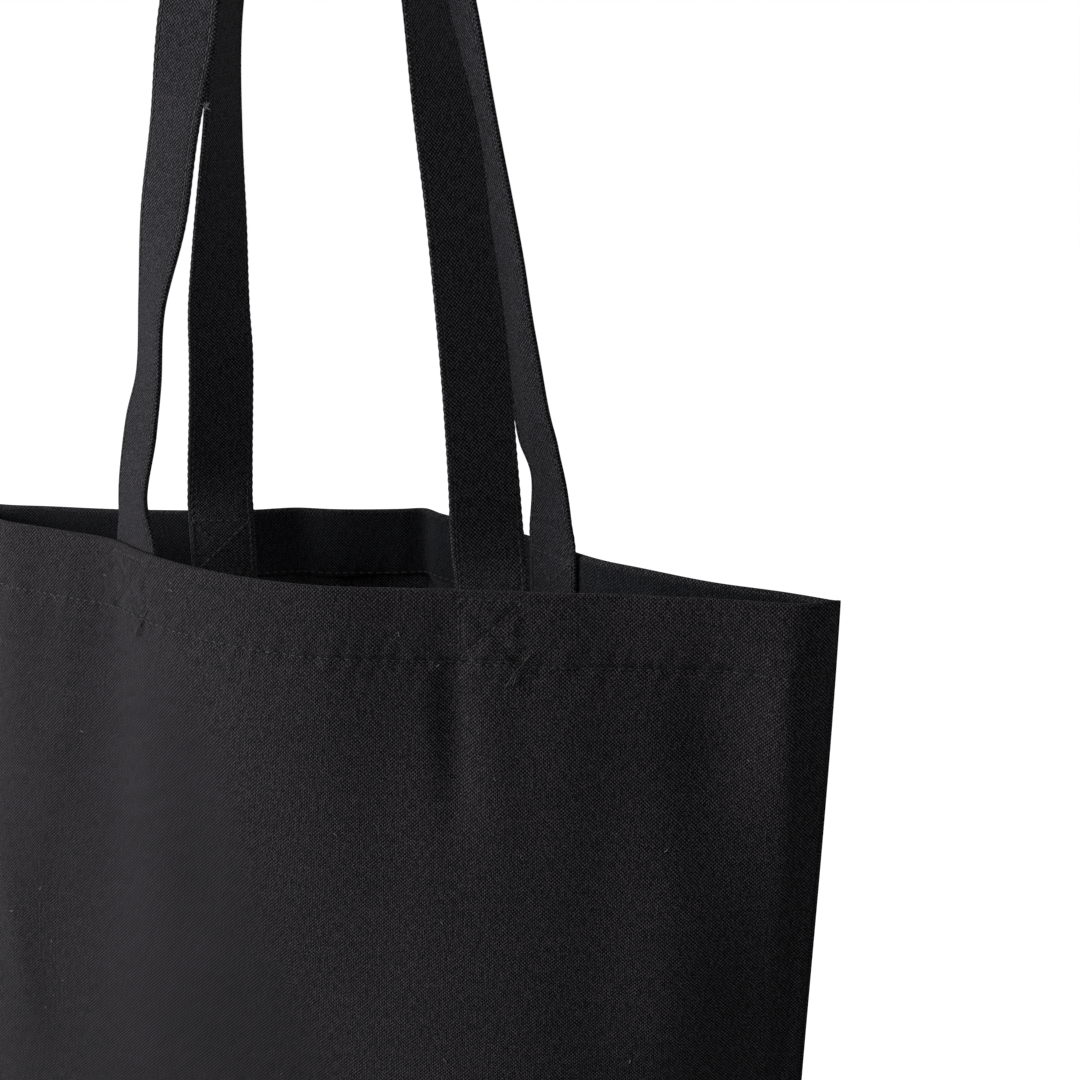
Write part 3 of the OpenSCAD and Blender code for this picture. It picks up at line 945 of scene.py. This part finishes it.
def stitches(starts, ends, ups, width, height, arch):
    """Points, faces and cloth coordinates of one stitch for each start and end. ups point outwards."""
    shape, shape_faces = capsule()
    starts, ends, ups = (np.asarray(a, float).reshape(-1, 3) for a in (starts, ends, ups))
    ahead = ends - starts
    length = np.linalg.norm(ahead, axis=1)
    ahead /= length[:, None]
    ups = ups - ahead * np.sum(ups * ahead, axis=1)[:, None]
    ups /= np.linalg.norm(ups, axis=1)[:, None]
    aside = np.cross(ups, ahead)
    middle = (starts + ends) / 2
    sway = rng.normal(0, 0.04, len(starts))[:, None]
    plump = 1 + rng.normal(0, 0.1, len(starts))[:, None]
    x, y, z = shape[:, 0][None, :], shape[:, 1][None, :], shape[:, 2][None, :]
    along = x * length[:, None] / 2
    across = y * width / 2 * plump + sway * along
    rise = z * height / 2 * plump + arch * (0.4 - x**2)
    points = (
        middle[:, None, :]
        + ahead[:, None, :] * along[..., None]
        + aside[:, None, :] * across[..., None]
        + ups[:, None, :] * rise[..., None]
    )
    count = len(shape)
    faces = [tuple(i + count * n for i in f) for n in range(len(starts)) for f in shape_faces]
    angle = np.arctan2(z, y) + 0 * along
    uv = np.stack([(x + 1) * MM + 0 * along, angle], -1)
    return points.reshape(-1, 3), faces, uv.reshape(-1, 2)


def joined(parts):
    """Several (points, faces, uv) groups as one."""
    points, faces, uvs = [], [], []
    count = 0
    for p, f, uv in parts:
        points.append(p)
        uvs.append(uv)
        faces += [tuple(i + count for i in face) for face in f]
        count += len(p)
    return np.vstack(points), faces, np.vstack(uvs)


def wall_row(side, start, end, pitch, out, relief):
    """Stitches on the wall from start to end, both [distance along the cloth, depth below the mouth].

    relief is True for a row on the outside, which follows the relief of the panel.
    """
    start, end = np.array(start, float), np.array(end, float)
    length = np.linalg.norm(end - start)
    count = max(int(round(length / pitch)), 1)
    edge = np.linspace(0, 1, count + 1)
    gap = 0.12 * (edge[1] - edge[0])
    ends = []
    for shift in (gap, -gap):
        t = (edge[:-1] if shift > 0 else edge[1:]) + shift
        u = start[0] + (end[0] - start[0]) * t
        down = start[1] + (end[1] - start[1]) * t
        lift = stitched_relief(side, u, down) if relief else 0
        ends.append((u, down, wall(side, u / FLAT_WIDTH, HEIGHT - down, out + lift)))
    u, down = ends[0][0], ends[0][1]
    lift = stitched_relief(side, u, down) if relief else 0
    deeper = wall(side, u / FLAT_WIDTH, HEIGHT - down, out + lift + (1 if relief else -1))
    return stitches(ends[0][2], ends[1][2], deeper - ends[0][2], *WALL_STITCH)


def hem_stitching(side):
    """The row of stitches through the hem, outside and inside."""
    name = f"{SIDES[side]}_hem_stitching"
    ends = [(HEM_PITCH, HEM_ROW), (FLAT_WIDTH - HEM_PITCH, HEM_ROW)]
    outside = wall_row(side, *ends, HEM_PITCH, 0.1, True)
    inside = wall_row(side, *ends, HEM_PITCH, HEM_INNER + 0.15, False)
    piece = new_piece(name + "_thread", *joined([outside, inside]), thread, "thread")
    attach(piece, "bag")
    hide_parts(name)


def tail(points, radius):
    """A loose thread or fibre of the given radius through the points."""
    line = np.array(points, float)
    starts, ends = line[:-1], line[1:]
    reach = (ends - starts) * 0.12
    ups = np.tile([0.3, -0.9, 0.4], (len(starts), 1))
    return stitches(starts - reach, ends + reach, ups, 2 * radius, 2 * radius, 0)


def wall_tail(side, route, out):
    """A loose end lying on the outside of a panel: route in [distance along the cloth, depth]."""
    u = np.array([p[0] for p in route], float)
    down = np.array([p[1] for p in route], float)
    lift = stitched_relief(side, u, down)
    return tail(wall(side, u / FLAT_WIDTH, HEIGHT - down, out + lift), 0.24)


def box_stitching(side, hand):
    """The box and cross that holds one strap end, outside and inside, with two loose thread ends."""
    name = f"{SIDES[side]}_{HANDS[hand]}_box_stitching"
    parts = []
    strap_face = SEWN_MIDDLE - SEWN_SQUEEZE * STRAP_THICKNESS / 2
    for a, b in box_rows(side, hand):
        parts.append(wall_row(side, a, b, BOX_PITCH, 0.1, True))
        parts.append(wall_row(side, a, b, BOX_PITCH, strap_face - 0.08, False))
    mid = strap_share(side, hand) * FLAT_WIDTH
    low = BOX_TOP + BOX_HEIGHT
    knot = mid + (9 if hand == RIGHT else 6)
    tails = (
        (0.55, ((5, -4), (2, 0), (-1, 4), (-4, 9))),
        (0.75, ((-5, -3), (-2, 1.5), (0, 4), (-1, 8))),
    )
    for out, steps in tails:
        parts.append(wall_tail(side, [(knot + u, low + down) for u, down in steps], out))
    piece = new_piece(name + "_thread", *joined(parts), thread, "thread")
    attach(piece, "bag")
    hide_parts(name)


def edge_stitching(strap, name):
    """Rows of stitches inside both edges of a strap, on both faces."""
    parts = []
    stations = np.arange(1, len(strap.run) - 2, 2)
    for across in (-1, 1):
        for face in (-1, 1):
            w = np.full(len(stations), across * (STRAP_WIDTH / 2 - EDGE_INSET))
            t = np.full(len(stations), face * (STRAP_THICKNESS / 2 - 0.2))
            here = strap.points(stations, w, t)
            there = strap.points(stations + 2, w, t)
            ups = strap.face[stations] * face
            reach = (there - here) * 0.1
            parts.append(stitches(here + reach, there - reach, ups, *EDGE_STITCH))
    piece = new_piece(name + "_thread", *joined(parts), thread, "thread")
    bend_handle(piece)
    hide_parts(name)


def strap_fluff(strap):
    """A small tuft of pale fibres caught on the edge of the front left strap."""
    height, far_away, fibres = 160, 1000, 9
    off = np.abs(strap.centre[:, 2] - HEIGHT - height) + far_away * (strap.hand == RIGHT)
    station = int(np.argmin(off))
    here = strap.points(np.array([station]), np.array([12.6]), np.array([0.9]))[0]
    parts = []
    for _ in range(fibres):
        middle = here + rng.normal(0, 0.35, 3)
        reach = rng.normal(0, 0.65, 3)
        parts.append(tail([middle - reach, middle + rng.normal(0, 0.25, 3), middle + reach], 0.19))
    piece = new_piece("strap_fluff", *joined(parts), lint, "thread")
    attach(piece, "front_loop")


def lint_specks():
    """Pale fibres caught in the weave of the front."""
    parts = []
    specks = 40
    for _ in range(specks):
        u = rng.uniform(20, FLAT_WIDTH - 15)
        down = rng.uniform(6, 260)
        turn = rng.uniform(0, math.pi)
        length = rng.uniform(0.2, 0.9)
        bend = rng.normal(0, 0.3)
        steps = [(-1, 0), (0, bend), (1, 0)]
        route = []
        for a, b in steps:
            du = length * (a * math.cos(turn) - b * math.sin(turn))
            route.append((u + du, down + length * (a * math.sin(turn) + b * math.cos(turn))))
        us = np.array([p[0] for p in route])
        downs = np.array([p[1] for p in route])
        lift = stitched_relief(FRONT, us, downs)
        parts.append(tail(wall(FRONT, us / FLAT_WIDTH, HEIGHT - downs, 0.1 + lift), 0.11))
    piece = new_piece("lint", *joined(parts), lint, "thread")
    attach(piece, "bag")


# ---------------------------------------------------------------- assembly

panels = {side: panel_piece(side) for side in (FRONT, BACK)}
hems = {side: hem_piece(side) for side in (FRONT, BACK)}
seams = inside_seams()
routes = {side: Strap(side) for side in (FRONT, BACK)}
for side, word in SIDES.items():
    handle = f"{word}_handle"
    ends = [f"{handle}_left_end", f"{handle}_right_end"]
    strap_piece(routes[side], handle, ends)
    edge_stitching(routes[side], f"{handle}_edge_stitching")
    hem_stitching(side)
    for hand in (LEFT, RIGHT):
        box_stitching(side, hand)
strap_fluff(routes[FRONT])
lint_specks()
